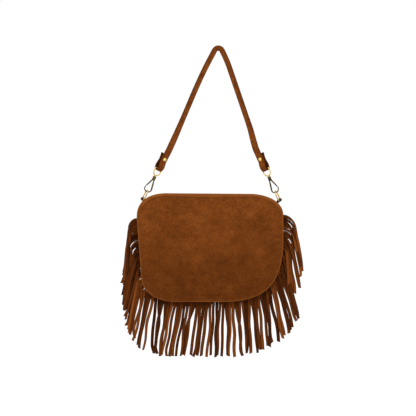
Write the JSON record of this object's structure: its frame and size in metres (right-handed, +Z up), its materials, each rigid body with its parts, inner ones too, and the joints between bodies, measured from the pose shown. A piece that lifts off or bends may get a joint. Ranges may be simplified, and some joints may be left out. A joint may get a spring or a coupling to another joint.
{
  "type": "fringed shoulder bag",
  "caption": "Small suede shoulder bag with rounded corners, a zip along the top, long cut fringe round its sides and base, and a folded strap on swivel snap hooks and rings.",
  "frame": {"origin": "the underside of the strap at its top bend, where a peg or a shoulder carries the bag", "axes": "+Z up, +X to the right as seen from the plain near face, which faces -Y; the fringe is sewn into the far seam, towards +Y"},
  "size_m": [0.3377, 0.064, 0.5697],
  "materials": {
    "suede": "napped suede, matt",
    "suede_gusset": "napped suede, matt",
    "suede_fringe": "napped suede with cut edges, matt",
    "suede_strap": "folded suede, matt",
    "dark_leather": "dark smooth leather, satin",
    "lining_cloth": "plain woven cotton, matt",
    "zip_tape": "woven tape, matt",
    "zip_brass": "satin",
    "polished_brass": "polished, lightly worn",
    "aged_brass": "antique, darkened",
    "spring_steel": "plain spring steel"
  },
  "bodies": {
    "bag": {"near_panel": "suede", "far_panel": "suede", "gusset": "suede_gusset", "zip_end_left": "suede_gusset", "zip_end_right": "suede_gusset", "zip_strip_near": "suede_gusset", "zip_strip_far": "suede_gusset", "zip_tape_near": "zip_tape", "zip_tape_far": "zip_tape", "zip_teeth_near": "zip_brass", "zip_teeth_far": "zip_brass", "zip_stop_left": "zip_brass", "zip_stop_right": "zip_brass", "lining": "lining_cloth", "fringe": "suede_fringe", "ring_tab_left": "dark_leather", "ring_tab_right": "dark_leather", "strap": "suede_strap", "rivet_cap_left": "polished_brass", "rivet_cap_right": "polished_brass", "rivet_base_left": "polished_brass", "rivet_base_right": "polished_brass"},
    "ring_left": {"d_ring_left": "polished_brass"},
    "eye_left": {"swivel_eye_left": "polished_brass"},
    "hook_left": {"snap_hook_left": "aged_brass", "gate_pin_left": "aged_brass", "gate_spring_left": "spring_steel"},
    "gate_left": {"hook_gate_left": "aged_brass"},
    "ring_right": {"d_ring_right": "polished_brass"},
    "eye_right": {"swivel_eye_right": "polished_brass"},
    "hook_right": {"snap_hook_right": "aged_brass", "gate_pin_right": "aged_brass", "gate_spring_right": "spring_steel"},
    "gate_right": {"hook_gate_right": "aged_brass"},
    "slider": {"zip_slider": "zip_brass"},
    "pull": {"zip_pull": "zip_brass"}
  },
  "joints": [
    {"name": "eye_left_swing", "type": "hinge", "parent": "bag", "child": "eye_left", "pos_m": [-0.10952, 0, -0.21788], "axis": [-0.6594, -0.6691, 0.3427], "range_deg": [-2, 2]},
    {"name": "ring_left_swing", "type": "hinge", "parent": "bag", "child": "ring_left", "pos_m": [-0.13853, 0, -0.27369], "axis": [-0.2742, 0.9511, 0.1425], "range_deg": [-4.3, 4.3]},
    {"name": "hook_left_swivel", "type": "hinge", "parent": "eye_left", "child": "hook_left", "pos_m": [-0.11731, 0, -0.23287], "axis": [-0.4612, 0, -0.8873], "range_deg": [-10, 10]},
    {"name": "gate_left_open", "type": "hinge", "parent": "hook_left", "child": "gate_left", "pos_m": [-0.12015, 0, -0.23703], "axis": [0, -1, 0], "range_deg": [0, 22], "stiffness_Nm_per_rad": 0.004, "springref_deg": -22.92},
    {"name": "eye_right_swing", "type": "hinge", "parent": "bag", "child": "eye_right", "pos_m": [0.08446, 0, -0.21811], "axis": [0.6773, -0.6691, 0.3058], "range_deg": [-2, 2]},
    {"name": "ring_right_swing", "type": "hinge", "parent": "bag", "child": "ring_right", "pos_m": [0.11035, 0, -0.27544], "axis": [0.2816, 0.9511, 0.1272], "range_deg": [-4.3, 4.3]},
    {"name": "hook_right_swivel", "type": "hinge", "parent": "eye_right", "child": "hook_right", "pos_m": [0.09141, 0, -0.23351], "axis": [0.4115, 0, -0.9114], "range_deg": [-10, 10]},
    {"name": "gate_right_open", "type": "hinge", "parent": "hook_right", "child": "gate_right", "pos_m": [0.09402, 0, -0.23782], "axis": [0, 1, 0], "range_deg": [0, 22], "stiffness_Nm_per_rad": 0.004, "springref_deg": -22.92},
    {"name": "slider_travel", "type": "slide", "parent": "bag", "child": "slider", "axis": [-1, 0, 0.0077], "range_m": [0, 0.138]},
    {"name": "pull_lift", "type": "hinge", "parent": "slider", "child": "pull", "pos_m": [0.04994, 0, -0.27097], "axis": [0, 1, 0], "range_deg": [0, 150]}
  ],
  "couplings": [
    {"joint": "ring_left_swing", "follows": "eye_left_swing", "ratio": 1.979},
    {"joint": "ring_right_swing", "follows": "eye_right_swing", "ratio": 1.979}
  ]
}
